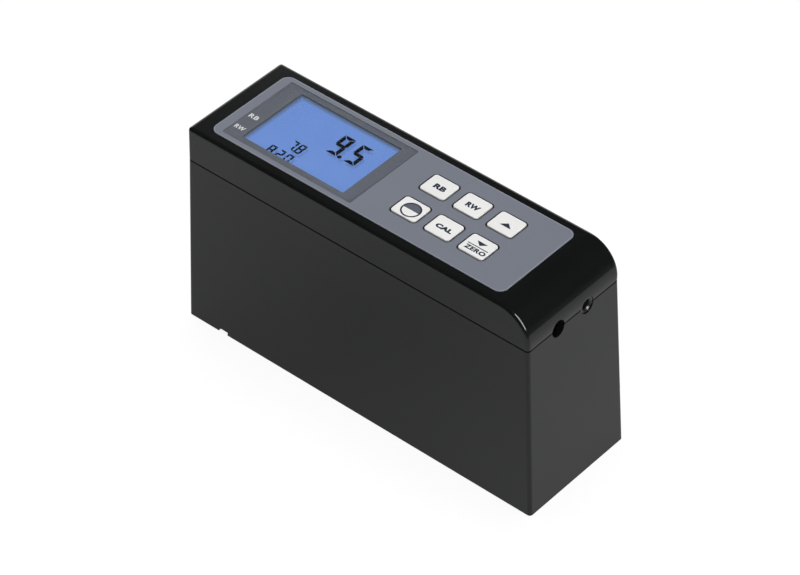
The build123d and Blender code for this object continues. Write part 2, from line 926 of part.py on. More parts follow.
def battery_contacts():
    """Four sprung strips, bowed from the holder's end walls to the cells' ends."""
    strips = []
    bow = contact_room - contact_thickness
    half = contact_height / 2
    for end, wall_x in ((-1, battery_left_x), (1, battery_right_x)):
        for side in (-1, 1):
            outer = ThreePointArc((0, -half), (bow, 0), (0, half))
            inner = ThreePointArc((contact_thickness, half), (contact_room, 0), (contact_thickness, -half))
            low = Line((contact_thickness, -half), (0, -half))
            high = Line((0, half), (contact_thickness, half))
            profile = Plane.XZ * make_face(outer + high + inner + low)
            strip = extrude(profile, amount=contact_width / 2, both=True)
            if end > 0:
                strip = strip.mirror(Plane.YZ)
            strips.append(Pos(wall_x, side * cell_spacing / 2, cell_centre_z) * strip)
    return Compound(children=strips)


def battery_door():
    """The door over the cells: a plate in the rim with two stiffening ribs."""
    body = base_pocket(door_clearance, plate_thickness)
    right = plate_split_x - door_clearance
    body &= block((-half_length, right), (-base_width, base_width), (door_recess, plate_thickness))
    top = plate_thickness + door_rib_height
    for side in (-1, 1):
        outer = side * door_rib_y
        inner = side * (door_rib_y - door_rib_thickness)
        reach = (battery_left_x, battery_right_x)
        body += block(reach, sorted((inner, outer)), (plate_thickness, top))
    return body


def folded_strip(points, width, thickness, bend):
    """A flat cable swept along points in the XZ plane, its width along Y."""
    path = Plane.XZ * FilletPolyline(*points, radius=bend)
    section = Plane(origin=path @ 0, x_dir=(0, 1, 0), z_dir=path % 0)
    return sweep(section * Rectangle(width, thickness), path=path)


def ribbon_cable():
    """The flat cable that folds down from the main board to the connector board."""
    low = connector_board_top + cable_thickness / 2
    high = board_bottom - cable_thickness / 2
    points = [
        (cable_x - cable_landing, high),
        (cable_x, high),
        (cable_x, low),
        (socket_back - tongue_clearance, low),
    ]
    return folded_strip(points, cable_width, cable_thickness, cable_bend)


def sensor_cable():
    """The flat cable that folds up from the lamp board to the main board."""
    low = lamp_barrel_top + board_thickness + cable_thickness / 2
    high = board_bottom - cable_thickness / 2
    edge = aperture_x - lamp_board_size / 2
    turn = edge - cable_landing
    points = [
        (edge + cable_landing, low),
        (turn, low),
        (turn, high),
        (turn + 2 * cable_landing, high),
    ]
    return folded_strip(points, sensor_cable_width, cable_thickness, cable_bend)


def battery_leads():
    """Two round wires from the battery holder's roof up to the main board."""
    leads = []
    middle = (holder_top + board_bottom) / 2
    for side in (-1, 1):
        path = Plane.XZ.offset(-side * lead_spacing / 2) * FilletPolyline(
            (lead_x, holder_top),
            (lead_x, middle - lead_shift),
            (lead_x - lead_shift, middle + lead_shift),
            (lead_x - lead_shift, board_bottom),
            radius=lead_bend,
        )
        section = Plane(origin=path @ 0, z_dir=path % 0)
        leads.append(sweep(section * Circle(lead_radius), path=path))
    return Compound(children=leads)


def board_parts():
    """Chips, a header, a trimmer and capacitors soldered under the main board."""
    parts = []
    for place, y, length, width, depth in board_blocks:
        x = board_left_x + place
        across = (y - width / 2, y + width / 2)
        along = (x - length / 2, x + length / 2)
        parts.append(block(along, across, (board_bottom - depth, board_bottom)))
    for place, y in capacitor_places:
        x = board_left_x + place
        can = upright(capacitor_radius, x, y, board_bottom - capacitor_depth, board_bottom)
        parts.append(fillet(can.faces().sort_by(Axis.Z)[0].edges(), capacitor_round))
    return Compound(children=parts)


def write(name, shape):
    """Writes one node to its own file."""
    export_step(shape, os.path.join("parts", name + ".step"))


os.makedirs("parts", exist_ok=True)
write("lower_housing", lower_housing())
write("top_cover", top_cover())
write("base_plate", base_plate())
write("battery_door", battery_door())
write("front_overlay", front_overlay())
write("display_window", display_window())
write("display_mask", display_mask())
for key_x, key_y, key_name in key_places():
    write(key_name, key_cap(key_x, key_y))
write("key_switches", key_switches())
write("lcd_glass", lcd_glass())
write("lcd_backlight", lcd_backlight())
write("lcd_connectors", lcd_connectors())
write("lcd_frame", lcd_frame())
write("main_board", main_board())
write("board_screws", board_screws())
write("cover_screws", cover_screws())
write("base_screws", base_screws())
write("aperture_ring", aperture_ring())
write("optics_block", optics_block())
write("optics_screws", optics_screws())
write("lamp", lamp())
write("lamp_lens", lamp_lens())
write("lamp_board", lamp_board())
write("lamp_screws", lamp_screws())
write("sensor_filters", sensor_filters())
write("light_sensors", light_sensors())
write("power_socket", power_socket())
write("serial_jack", serial_jack())
write("connector_board", connector_board())
write("connector_screw", connector_screw())
write("battery_holder", battery_holder())
write("battery_cells", battery_cells())
write("battery_contacts", battery_contacts())
write("battery_leads", battery_leads())
write("board_parts", board_parts())
write("ribbon_cable", ribbon_cable())
write("sensor_cable", sensor_cable())
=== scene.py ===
"""Looks for the reflectance meter: camera, studio, finishes, key legends and display figures."""
import math

import bpy
import numpy as np
from mathutils import Matrix, Vector


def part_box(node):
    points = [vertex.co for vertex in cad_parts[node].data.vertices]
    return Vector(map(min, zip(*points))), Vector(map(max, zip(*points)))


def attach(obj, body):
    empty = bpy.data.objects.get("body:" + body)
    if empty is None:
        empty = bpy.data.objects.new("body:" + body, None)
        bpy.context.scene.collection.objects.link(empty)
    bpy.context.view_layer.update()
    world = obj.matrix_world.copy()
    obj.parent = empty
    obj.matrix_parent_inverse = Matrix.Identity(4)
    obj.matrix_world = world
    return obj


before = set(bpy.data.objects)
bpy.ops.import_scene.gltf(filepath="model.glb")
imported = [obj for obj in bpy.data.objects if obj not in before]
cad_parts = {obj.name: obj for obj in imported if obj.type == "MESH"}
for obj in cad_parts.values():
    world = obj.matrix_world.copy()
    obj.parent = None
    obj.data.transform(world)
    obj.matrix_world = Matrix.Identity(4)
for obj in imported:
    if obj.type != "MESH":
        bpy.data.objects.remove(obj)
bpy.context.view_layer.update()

MM = 0.001
MICRON = 0.000001

# Camera, fitted to the photograph: angles in degrees, lengths in millimetres
CAMERA_AZIMUTH = 39.267
CAMERA_ELEVATION = 41.592
CAMERA_ROLL = 1.331
CAMERA_DISTANCE = 1122.464
CAMERA_TARGET = (-2.128, 0.375, 35.0)
FOCAL_PIXELS = 3630.217
FRAME_PIXELS = 800
SENSOR = 36.0
NEAR_CLIP = 50.0
FAR_CLIP = 20000.0

# Thickness of a printed layer, in millimetres
INK = 0.02


def span(name):
    """The lowest and highest corner of a CAD node, in millimetres."""
    low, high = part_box(name)
    return np.array(low) / MM, np.array(high) / MM


def middle_of(name):
    """The middle of a CAD node seen from above, in millimetres."""
    return tuple(sum(span(name))[:2] / 2)


# Heights of the printed surfaces, from the CAD nodes
KEY_TOP = span("key_rb")[1][2]
MASK_TOP = span("display_mask")[1][2]
DISPLAY_TOP = span("lcd_glass")[1][2]

# Keys by node: the middle of each cap, and the outline of the hole it moves in
KEY_NODES = ("key_rb", "key_rw", "key_up", "key_contrast", "key_cal", "key_zero")
KEY_PLACES = {name: middle_of(name) for name in KEY_NODES}
HOLE_HALF = (5.17, 4.62)
HOLE_RADIUS = 1.52
HOLE_LINE = 0.15
LINE_BLUR = 0.03

# Outline of the grey panel, and where the painted highlight along its edge begins, inside the outline
PANEL_CENTRE = middle_of("front_overlay")
PANEL_HALF = tuple((span("front_overlay")[1] - span("front_overlay")[0])[:2] / 2)
PANEL_RADIUS = 3.0
EDGE_HIGHLIGHT_BAND = (-0.45, -0.22)

# The display's lit field lies inside its glass by this margin; painted shadow of the window frame darkens it
# towards two sides
GLASS_MARGIN = 1.0
LIT_LOW = span("lcd_glass")[0][:2] + GLASS_MARGIN
LIT_HIGH = span("lcd_glass")[1][:2] - GLASS_MARGIN
SHADE_WIDTH = 1.9

# A cell's jacket, measured along it from its middle: where the metal tip and the stripe begin
CELLS_MIDDLE = sum(span("battery_cells"))[0] / 2
CELL_TIP = (24.2, 24.4)
STRIPE_PLACE = 15.0
STRIPE_EDGE = (1.2, 1.0)

# Signs on the keys, each given from the middle of its cap: the box that a word fills
RB_BOX = ((-1.72, -1.38), (2.58, 0.82))
RW_BOX = ((-2.08, -1.6), (2.82, 0.6))
CAL_BOX = ((-2.75, -1.35), (3.35, 0.6))
ZERO_BOX = ((-3.42, -2.85), (4.18, -1.0))
UP_ARROW = ((-1.75, -1.3), (2.45, -1.3), (0.35, 0.55))
DOWN_ARROW = ((-1.85, 2.1), (2.1, 2.1), (0.15, 0.4))
ZERO_LINE = ((-3.6, -0.5), (4.0, -0.5), (4.0, -0.15), (-3.6, -0.15))
DISC_CENTRE = (0.5, -0.4)
DISC_RADIUS = 3.1
DISC_LINE = 0.54
DISC_FIELD = 2.86

# How much each word's letters are thickened, as a share of the type's size, and their spacing
SHORT_WORD = 0.06
CAL_WORD = 0.07
ZERO_WORD = 0.048
LABEL_WORD = 0.02
LETTER_SPACING = 1.08
LETTER_STEPS = 6

# White labels beside the display, in the object's own place
UPPER_LABEL = ((-59.7, -5.2), (-56.2, -3.4))
LOWER_LABEL = ((-59.7, -11.9), (-55.9, -10.1))

# Figures on the display, placed from the lit field's near left corner
READING = (("9", 23.05, 4.3), ("5", 30.1, 4.35))
READING_Y = 12.1
READING_HEIGHT = 9.8
READING_BAR = 1.36
READING_DOT = ((28.4, 12.55), 0.75, 12)
SMALL_WIDTH = 2.3
SMALL_BAR = 0.66
SMALL_ROWS = (
    (5.15, 4.65, (("7", 12.95), ("8", 15.95))),
    (-0.75, 4.5, (("8", 9.2), ("2", 12.7), ("0", 16.0))),
)
SMALL_DOT = ((15.55, 5.5), 0.3, 10)
DOT_TURN = 330
BAR_GAP = 0.13
SHADOW_SHIFT = (1.3, -1.15)

# Bars that make each figure: a top, b and c right, d bottom, e and f left, g middle
FIGURES = {"0": "abcdef", "2": "abged", "5": "afgcd", "7": "abc", "8": "abcdefg", "9": "abcdfg"}

# Colours that more than one place uses
BLACK = (0.0, 0.0, 0.0)
CASING = ((0.0045, 0.005, 0.005), (0.0065, 0.0072, 0.007))
# Painted highlight colour for the panel's edge
EDGE_HIGHLIGHT_GREY = (0.235, 0.252, 0.295)
LINE_GREY = (0.03, 0.034, 0.042)
# Painted shadow colour of the window frame on the display field
FIELD_SHADE = (0.1, 0.125, 0.17)

# Index of refraction of moulded plastic and glass, and of lacquer
PLASTIC_IOR = 1.45
LACQUER_IOR = 1.5

# How strongly handling marks show, and how much lighter a clear tint drifts
PLASTIC_MARKS = 0.6
METAL_MARKS = 0.8
TINT_DRIFT = 1.02

# Shares of the display field's colour that it reflects and that it gives off
FIELD_REFLECTS = 0.55
FIELD_GLOWS = 0.5
SHADOW_GLOWS = 0.6

# Surroundings: what gloss sees at the horizon and overhead, where it fades, and the plain light
HORIZON = 0.128
OVERHEAD = 0.024
FADE_HEIGHT = 0.15
AMBIENT = 0.2

# Floor, in metres: half its side, its drop below the object, its grey and its white
FLOOR_REACH = 0.4
FLOOR_DROP = 0.0002
FLOOR_GREY = (0.86, 0.86, 0.86, 1.0)
FLOOR_WHITE = 1.06
FLOOR_SHARE = 0.86

# Painted shadow pool on the floor that gloss sees, dimmer in front of the object: middle, radius, strength in
# the middle and outside
POOL_MIDDLE = (-0.025, -0.06, 0.0)
POOL_RADIUS = 0.1
POOL_STRENGTH = 0.34
ROUND_POOL = 0.62

# The CAD nodes that each finish goes on
NODES_BY_FINISH = {
    "housing_plastic": ("lower_housing", "battery_door"),
    "cover_plastic": ("top_cover",),
    "black_plate": ("base_plate", "aperture_ring"),
    "panel_grey": ("front_overlay",),
    "clear_window": ("display_window",),
    "mask_print": ("display_mask",),
    "display_blue": ("lcd_glass",),
    "light_guide": ("lcd_backlight",),
    "contact_rubber": ("lcd_connectors",),
    "frame_black": ("lcd_frame", "key_switches", "battery_holder"),
    "board_green": ("main_board", "lamp_board", "connector_board"),
    "chip_black": ("board_parts",),
    "optics_black": ("optics_block",),
    "lamp_glass": ("lamp",),
    "lens_glass": ("lamp_lens",),
    "filter_glass": ("sensor_filters",),
    "sensor_metal": ("light_sensors",),
    "socket_black": ("power_socket",),
    "jack_metal": ("serial_jack",),
    "cell_jacket": ("battery_cells",),
    "contact_steel": ("battery_contacts",),
    "lead_red": ("battery_leads",),
    "cable_grey": ("ribbon_cable", "sensor_cable"),
    "screw_steel": (
        "board_screws",
        "cover_screws",
        "base_screws",
        "optics_screws",
        "connector_screw",
        "lamp_screws",
    ),
    "key_white": KEY_NODES,
}


def link(tree, source, target):
    """Joins an output to an input."""
    tree.links.new(source, target)


def node(tree, kind, **settings):
    """Adds a node with its properties set."""
    made = tree.nodes.new(kind)
    for name, value in settings.items():
        setattr(made, name, value)
    return made


def feed(tree, value, target):
    """Sets an input from a plain number, a colour's three parts or another node's output."""
    if isinstance(value, (int, float)):
        target.default_value = value
    elif isinstance(value, tuple):
        target.default_value = (*value, 1.0)
    else:
        link(tree, value, target)


def noise(tree, vector, scale, detail=2.0, roughness=0.5):
    """A noise texture's value over a coordinate."""
    made = node(tree, "ShaderNodeTexNoise")
    link(tree, vector, made.inputs["Vector"])
    feed(tree, scale, made.inputs["Scale"])
    made.inputs["Detail"].default_value = detail
    made.inputs["Roughness"].default_value = roughness
    return made.outputs["Fac"]


def math_node(tree, operation, first, second=None, clamp=False):
    """A math node over values or sockets."""
    made = node(tree, "ShaderNodeMath", operation=operation, use_clamp=clamp)
    feed(tree, first, made.inputs[0])
    if second is not None:
        feed(tree, second, made.inputs[1])
    return made.outputs[0]


def remap(tree, value, low, high, new_low=0.0, new_high=1.0):
    """Maps a value from one range to another and holds it there."""
    made = node(tree, "ShaderNodeMapRange", clamp=True)
    link(tree, value, made.inputs["Value"])
    made.inputs["From Min"].default_value = low
    made.inputs["From Max"].default_value = high
    made.inputs["To Min"].default_value = new_low
    made.inputs["To Max"].default_value = new_high
    return made.outputs["Result"]


def mix_colour(tree, factor, first, second):
    """Mixes two colours, given as sockets or as values."""
    made = node(tree, "ShaderNodeMix", data_type="RGBA")
    for index, value in ((0, factor), (6, first), (7, second)):
        feed(tree, value, made.inputs[index])
    return made.outputs[2]


def mix_shader(tree, factor, first, second):
    """Mixes two shaders by a factor from a socket."""
    made = node(tree, "ShaderNodeMixShader")
    for index, value in enumerate((factor, first, second)):
        link(tree, value, made.inputs[index])
    return made.outputs[0]


def axes_of(tree, vector):
    """The three parts of a vector."""
    made = node(tree, "ShaderNodeSeparateXYZ")
    link(tree, vector, made.inputs[0])
    return made.outputs


def new_group(name, inputs, outputs):
    """Starts a node group with named inputs and outputs, given as (name, kind, value)."""
    group = bpy.data.node_groups.new(name, "ShaderNodeTree")
    for label, kind, value in inputs:
        socket = group.interface.new_socket(label, in_out="INPUT", socket_type=kind)
        if value is not None:
            socket.default_value = value
    for label, kind in outputs:
        group.interface.new_socket(label, in_out="OUTPUT", socket_type=kind)
    start = group.nodes.new("NodeGroupInput")
    end = group.nodes.new("NodeGroupOutput")
    return group, start.outputs, end.inputs


def make_grain_group():
    """Spark-eroded mould texture: two sizes of noise, and small pits from a cell texture."""
    group, given, result = new_group(
        "moulded_grain",
        [("Coordinate", "NodeSocketVector", None), ("Scale", "NodeSocketFloat", 2500.0)],
        [("Height", "NodeSocketFloat")],
    )
    fine = noise(group, given["Coordinate"], given["Scale"], detail=3.0, roughness=0.6)
    coarse = noise(group, given["Coordinate"], math_node(group, "MULTIPLY", given["Scale"], 0.22))
    pits = node(group, "ShaderNodeTexVoronoi")
    link(group, given["Coordinate"], pits.inputs["Vector"])
    link(group, math_node(group, "MULTIPLY", given["Scale"], 0.7), pits.inputs["Scale"])
    pit = math_node(group, "MULTIPLY", remap(group, pits.outputs["Distance"], 0.0, 0.45), 0.35)
    both = math_node(group, "ADD", fine, math_node(group, "MULTIPLY", coarse, 0.6))
    link(group, math_node(group, "ADD", both, pit), result["Height"])
    return group


def make_drift_group():
    """Slow drift between two colours, with a little fine mottle over it."""
    group, given, result = new_group(
        "colour_drift",
        [
            ("Coordinate", "NodeSocketVector", None),
            ("Scale", "NodeSocketFloat", 30.0),
            ("Dark", "NodeSocketColor", (0.0, 0.0, 0.0, 1.0)),
            ("Light", "NodeSocketColor", (1.0, 1.0, 1.0, 1.0)),
        ],
        [("Colour", "NodeSocketColor"), ("Mask", "NodeSocketFloat")],
    )
    slow = noise(group, given["Coordinate"], given["Scale"])
    mottle = noise(group, given["Coordinate"], math_node(group, "MULTIPLY", given["Scale"], 40.0))
    both = math_node(group, "ADD", slow, math_node(group, "MULTIPLY", mottle, 0.35))
    mask = remap(group, both, 0.4, 0.95)
    link(group, mix_colour(group, mask, given["Dark"], given["Light"]), result["Colour"])
    link(group, mask, result["Mask"])
    return group


def make_smudge_group():
    """Handling marks: soft patches of finger grease and a few hairline rubs, as a mask."""
    group, given, result = new_group(
        "handling_marks",
        [("Coordinate", "NodeSocketVector", None), ("Amount", "NodeSocketFloat", 1.0)],
        [("Mask", "NodeSocketFloat")],
    )
    grease = noise(group, given["Coordinate"], scale=70.0, detail=4.0, roughness=0.6)
    patch = math_node(group, "MULTIPLY", remap(group, grease, 0.5, 0.75), 0.6)
    stretch = node(group, "ShaderNodeMapping")
    stretch.inputs["Rotation"].default_value = (0.4, 0.2, 0.7)
    stretch.inputs["Scale"].default_value = (120.0, 2600.0, 900.0)
    link(group, given["Coordinate"], stretch.inputs["Vector"])
    hairs = noise(group, stretch.outputs["Vector"], scale=1.0, detail=1.0)
    rub = math_node(group, "MULTIPLY", remap(group, hairs, 0.72, 0.8), 0.5)
    both = math_node(group, "ADD", patch, rub)
    link(group, math_node(group, "MULTIPLY", both, given["Amount"], clamp=True), result["Mask"])
    return group


def make_brush_group():
    """Drawn or turned metal: noise drawn out along one axis."""
    group, given, result = new_group(
        "brushed_lines",
        [("Coordinate", "NodeSocketVector", None), ("Scale", "NodeSocketVector", (200.0, 9000.0, 9000.0))],
        [("Height", "NodeSocketFloat")],
    )
    stretch = node(group, "ShaderNodeVectorMath", operation="MULTIPLY")
    link(group, given["Coordinate"], stretch.inputs[0])
    link(group, given["Scale"], stretch.inputs[1])
    link(group, noise(group, stretch.outputs[0], scale=1.0), result["Height"])
    return group


def make_outline_group():
    """Distance from a rounded rectangle's outline, below zero inside it, in metres.

    Along each axis, the place from the centre is taken without its sign, less the half side and
    plus the radius. The distance is the length of what lies above zero, plus the larger of the two
    where both lie below zero, less the radius.
    """
    group, given, result = new_group(
        "rounded_outline",
        [
            ("Coordinate", "NodeSocketVector", None),
            ("Centre", "NodeSocketVector", (0.0, 0.0, 0.0)),
            ("Half", "NodeSocketVector", (0.01, 0.01, 0.0)),
            ("Radius", "NodeSocketFloat", 0.001),
        ],
        [("Distance", "NodeSocketFloat")],
    )
    shifted = node(group, "ShaderNodeVectorMath", operation="SUBTRACT")
    link(group, given["Coordinate"], shifted.inputs[0])
    link(group, given["Centre"], shifted.inputs[1])
    place = axes_of(group, shifted.outputs[0])
    half = axes_of(group, given["Half"])
    sides = []
    for axis in (0, 1):
        inner = math_node(group, "SUBTRACT", half[axis], given["Radius"])
        sides.append(math_node(group, "SUBTRACT", math_node(group, "ABSOLUTE", place[axis]), inner))
    outside = [math_node(group, "MAXIMUM", side, 0.0) for side in sides]
    squares = [math_node(group, "MULTIPLY", side, side) for side in outside]
    length = math_node(group, "SQRT", math_node(group, "ADD", *squares))
    inside = math_node(group, "MINIMUM", math_node(group, "MAXIMUM", *sides), 0.0)
    total = math_node(group, "ADD", length, inside)
    link(group, math_node(group, "SUBTRACT", total, given["Radius"]), result["Distance"])
    return group


GRAIN = make_grain_group()
DRIFT = make_drift_group()
SMUDGE = make_smudge_group()
BRUSH = make_brush_group()
OUTLINES = make_outline_group()


class Finish:
    """A material with a Principled BSDF and object coordinates, ready for its pattern."""

    def __init__(self, name, roughness=0.5, **sockets):
        self.name = name
        self.material = bpy.data.materials.new(name)
        self.material.use_nodes = True
        self.tree = self.material.node_tree
        self.shader = self.tree.nodes["Principled BSDF"]
        self.place = node(self.tree, "ShaderNodeTexCoord").outputs["Object"]
        self.shader.inputs["Roughness"].default_value = roughness
        for label, value in sockets.items():
            self.shader.inputs[label.replace("_", " ")].default_value = value

    def colour(self, source, label="Base Color"):
        """Feeds a colour to the shader."""
        link(self.tree, source, self.shader.inputs[label])

    def group(self, group, **values):
        """Places a node group, with its coordinate joined and its values set."""
        made = node(self.tree, "ShaderNodeGroup", node_tree=group)
        link(self.tree, self.place, made.inputs["Coordinate"])
        for label, value in values.items():
            made.inputs[label].default_value = value
        return made.outputs

    def cloud(self, dark, light, scale):
        """A drift between two colours, not yet joined to the shader."""
        return self.group(DRIFT, Scale=scale, Dark=(*dark, 1.0), Light=(*light, 1.0))

    def outline(self, centre, half, radius):
        """The distance from a rounded rectangle's outline; its sizes in millimetres."""
        sizes = {"Centre": (*centre, 0.0), "Half": (*half, 0.0)}
        scaled = {label: tuple(float(part) * MM for part in value) for label, value in sizes.items()}
        return self.group(OUTLINES, Radius=radius * MM, **scaled)["Distance"]

    def bump(self, height, strength, microns):
        """Feeds a height to the shader's normal."""
        made = node(self.tree, "ShaderNodeBump")
        made.inputs["Strength"].default_value = strength
        made.inputs["Distance"].default_value = microns * MICRON
        link(self.tree, height, made.inputs["Height"])
        link(self.tree, made.outputs["Normal"], self.shader.inputs["Normal"])

    def marks(self, amount, rough):
        """Spreads the roughness from its low to its high value by the handling marks."""
        mask = self.group(SMUDGE, Amount=amount)["Mask"]
        link(self.tree, remap(self.tree, mask, 0.0, 1.0, *rough), self.shader.inputs["Roughness"])


def moulded_plastic(name, dark, light, rough, grain, depth, marks=PLASTIC_MARKS):
    """Moulded plastic: colour drift, mould grain as bump and handling marks in the roughness."""
    made = Finish(name, IOR=PLASTIC_IOR)
    made.colour(made.cloud(dark, light, scale=30.0)["Colour"])
    made.bump(made.group(GRAIN, Scale=grain)["Height"], strength=0.35, microns=depth)
    made.marks(marks, rough)
    return made


def worked_metal(name, dark, light, rough, lines, depth, metallic=1.0):
    """Plated, drawn or anodised metal: fine lines as bump, marks in the roughness."""
    made = Finish(name, Metallic=metallic)
    made.colour(made.cloud(dark, light, scale=60.0)["Colour"])
    made.bump(made.group(BRUSH, Scale=lines)["Height"], strength=0.3, microns=depth)
    made.marks(METAL_MARKS, rough)
    return made


def clear_glass(name, tint, roughness=0.02):
    """Clear glass or film that lets shadow and diffuse rays straight through."""
    made = Finish(name, roughness, Transmission_Weight=1.0, IOR=PLASTIC_IOR)
    drift = made.cloud(tint, tuple(min(1.0, TINT_DRIFT * part) for part in tint), scale=40.0)
    made.colour(drift["Colour"])
    made.bump(drift["Mask"], strength=0.02, microns=10)
    tree = made.tree
    paths = node(tree, "ShaderNodeLightPath").outputs
    through = node(tree, "ShaderNodeBsdfTransparent")
    through.inputs["Color"].default_value = (*tint, 1.0)
    either = math_node(tree, "MAXIMUM", paths["Is Shadow Ray"], paths["Is Diffuse Ray"])
    mixed = mix_shader(tree, either, made.shader.outputs[0], through.outputs[0])
    link(tree, mixed, tree.nodes["Material Output"].inputs["Surface"])
    return made


def printed_panel(name):
    """The grey film of the panel: satin grain, a painted highlight along its edge and a dark line round each
    key.
    """
    film = ((0.157, 0.171, 0.209), (0.167, 0.181, 0.221))
    made = moulded_plastic(name, *film, rough=(0.42, 0.5), grain=5200.0, depth=6, marks=0.5)
    made.shader.inputs["Specular IOR Level"].default_value = 0.25
    tree = made.tree
    plain = made.shader.inputs["Base Color"].links[0].from_socket
    # Painted highlight: the film is lighter in a thin band just inside the panel's edge
    edge = made.outline(PANEL_CENTRE, PANEL_HALF, PANEL_RADIUS)
    highlight_band = remap(tree, edge, *(side * MM for side in EDGE_HIGHLIGHT_BAND))
    highlighted = mix_colour(tree, highlight_band, plain, EDGE_HIGHLIGHT_GREY)
    nearest = None
    for centre in KEY_PLACES.values():
        away = made.outline(centre, HOLE_HALF, HOLE_RADIUS)
        nearest = away if nearest is None else math_node(tree, "MINIMUM", nearest, away)
    line = remap(tree, nearest, (HOLE_LINE + LINE_BLUR) * MM, (HOLE_LINE - LINE_BLUR) * MM)
    made.colour(mix_colour(tree, line, highlighted, LINE_GREY))
    return made


def lit_display(name, glow=1.0):
    """The display's blue field: lit from behind, with painted shadow of the window frame along its left and
    back edges.
    """
    made = Finish(name, 0.35, Specular_IOR_Level=0.0, Emission_Strength=glow)
    tree = made.tree
    place = axes_of(tree, made.place)
    # Painted shadow: the field darkens towards its left and back edges, where the window frame's edge shades
    # it
    left = remap(tree, place[0], (LIT_LOW[0] + SHADE_WIDTH) * MM, LIT_LOW[0] * MM)
    back = remap(tree, place[1], (LIT_HIGH[1] - SHADE_WIDTH) * MM, LIT_HIGH[1] * MM)
    edge = math_node(tree, "MAXIMUM", left, back)
    field = made.cloud((0.153, 0.277, 0.65), (0.167, 0.297, 0.68), scale=45.0)
    frame_shadowed = mix_colour(tree, edge, field["Colour"], FIELD_SHADE)
    made.colour(mix_colour(tree, FIELD_REFLECTS, BLACK, frame_shadowed))
    made.colour(mix_colour(tree, FIELD_GLOWS, BLACK, frame_shadowed), "Emission Color")
    made.bump(field["Mask"], strength=0.02, microns=10)
    return made


def circuit_board(name):
    """Lacquered laminate with paler tracks, from a brick pattern and a cell pattern."""
    made = Finish(name, 0.3, IOR=LACQUER_IOR)
    tree = made.tree
    tracks = node(tree, "ShaderNodeTexBrick", offset=0.3)
    link(tree, made.place, tracks.inputs["Vector"])
    tracks.inputs["Scale"].default_value = 260.0
    tracks.inputs["Mortar Size"].default_value = 0.035
    tracks.inputs["Color1"].default_value = (0.012, 0.1, 0.045, 1.0)
    tracks.inputs["Color2"].default_value = (0.014, 0.12, 0.052, 1.0)
    tracks.inputs["Mortar"].default_value = (0.035, 0.2, 0.08, 1.0)
    pads = node(tree, "ShaderNodeTexVoronoi")
    link(tree, made.place, pads.inputs["Vector"])
    pads.inputs["Scale"].default_value = 420.0
    dot = remap(tree, pads.outputs["Distance"], 0.16, 0.12)
    made.colour(mix_colour(tree, dot, tracks.outputs["Color"], (0.45, 0.42, 0.3)))
    made.bump(tracks.outputs["Fac"], strength=0.2, microns=20)
    return made


def battery_jacket(name):
    """A printed jacket with a stripe and a metal tip at each end, from the place along X."""
    made = Finish(name, 0.3, Metallic=0.7)
    tree = made.tree
    along = math_node(tree, "SUBTRACT", axes_of(tree, made.place)[0], float(CELLS_MIDDLE) * MM)
    away = math_node(tree, "ABSOLUTE", along)
    tip = remap(tree, away, *(side * MM for side in CELL_TIP))
    near = math_node(tree, "ABSOLUTE", math_node(tree, "SUBTRACT", away, STRIPE_PLACE * MM))
    stripe = remap(tree, near, *(side * MM for side in STRIPE_EDGE))
    jacket = made.cloud((0.02, 0.022, 0.028), (0.035, 0.037, 0.045), scale=80.0)
    striped = mix_colour(tree, stripe, jacket["Colour"], (0.5, 0.3, 0.08))
    made.colour(mix_colour(tree, tip, striped, (0.6, 0.6, 0.58)))
    made.bump(jacket["Mask"], strength=0.1, microns=20)
    return made


def ribbed_cable(name):
    """Flat cable: fine ribs, one per conductor, from a wave across its width."""
    made = Finish(name, 0.4, IOR=PLASTIC_IOR)
    tree = made.tree
    ribs = node(tree, "ShaderNodeTexWave", wave_type="BANDS", bands_direction="Y")
    link(tree, made.place, ribs.inputs["Vector"])
    ribs.inputs["Scale"].default_value = 250.0
    made.colour(mix_colour(tree, ribs.outputs["Fac"], (0.28, 0.29, 0.31), (0.42, 0.43, 0.45)))
    made.bump(ribs.outputs["Fac"], strength=0.5, microns=200)
    return made


def casing_finishes():
    """What shows from outside: casing, keys, base, sockets and display."""
    key_cap = ((0.76, 0.76, 0.745), (0.82, 0.82, 0.805))
    mask = ((0.104, 0.113, 0.137), (0.112, 0.121, 0.146))
    socket = ((0.006, 0.006, 0.006), (0.01, 0.01, 0.01))
    plate = ((0.02, 0.02, 0.021), (0.035, 0.035, 0.037))
    plate_lines = (150.0, 7000.0, 7000.0)
    jack = ((0.02, 0.02, 0.021), (0.03, 0.03, 0.031))
    jack_lines = (9000.0, 900.0, 900.0)
    steel = ((0.5, 0.5, 0.5), (0.62, 0.62, 0.62))
    steel_lines = (300.0, 9000.0, 9000.0)
    return [
        moulded_plastic("housing_plastic", *CASING, rough=(0.28, 0.36), grain=2600.0, depth=8),
        moulded_plastic("cover_plastic", *CASING, rough=(0.13, 0.2), grain=3000.0, depth=2),
        moulded_plastic("key_white", *key_cap, rough=(0.38, 0.48), grain=3600.0, depth=5, marks=0.4),
        moulded_plastic("mask_print", *mask, rough=(0.55, 0.65), grain=5200.0, depth=4),
        moulded_plastic("socket_black", *socket, rough=(0.45, 0.55), grain=2600.0, depth=10),
        worked_metal("black_plate", *plate, rough=(0.35, 0.5), lines=plate_lines, depth=6, metallic=0.6),
        worked_metal("jack_metal", *jack, rough=(0.25, 0.35), lines=jack_lines, depth=8, metallic=0.3),
        worked_metal("screw_steel", *steel, rough=(0.28, 0.42), lines=steel_lines, depth=10),
        printed_panel("panel_grey"),
        clear_glass("clear_window", (0.98, 0.985, 0.99), 0.08),
        lit_display("display_blue"),
    ]


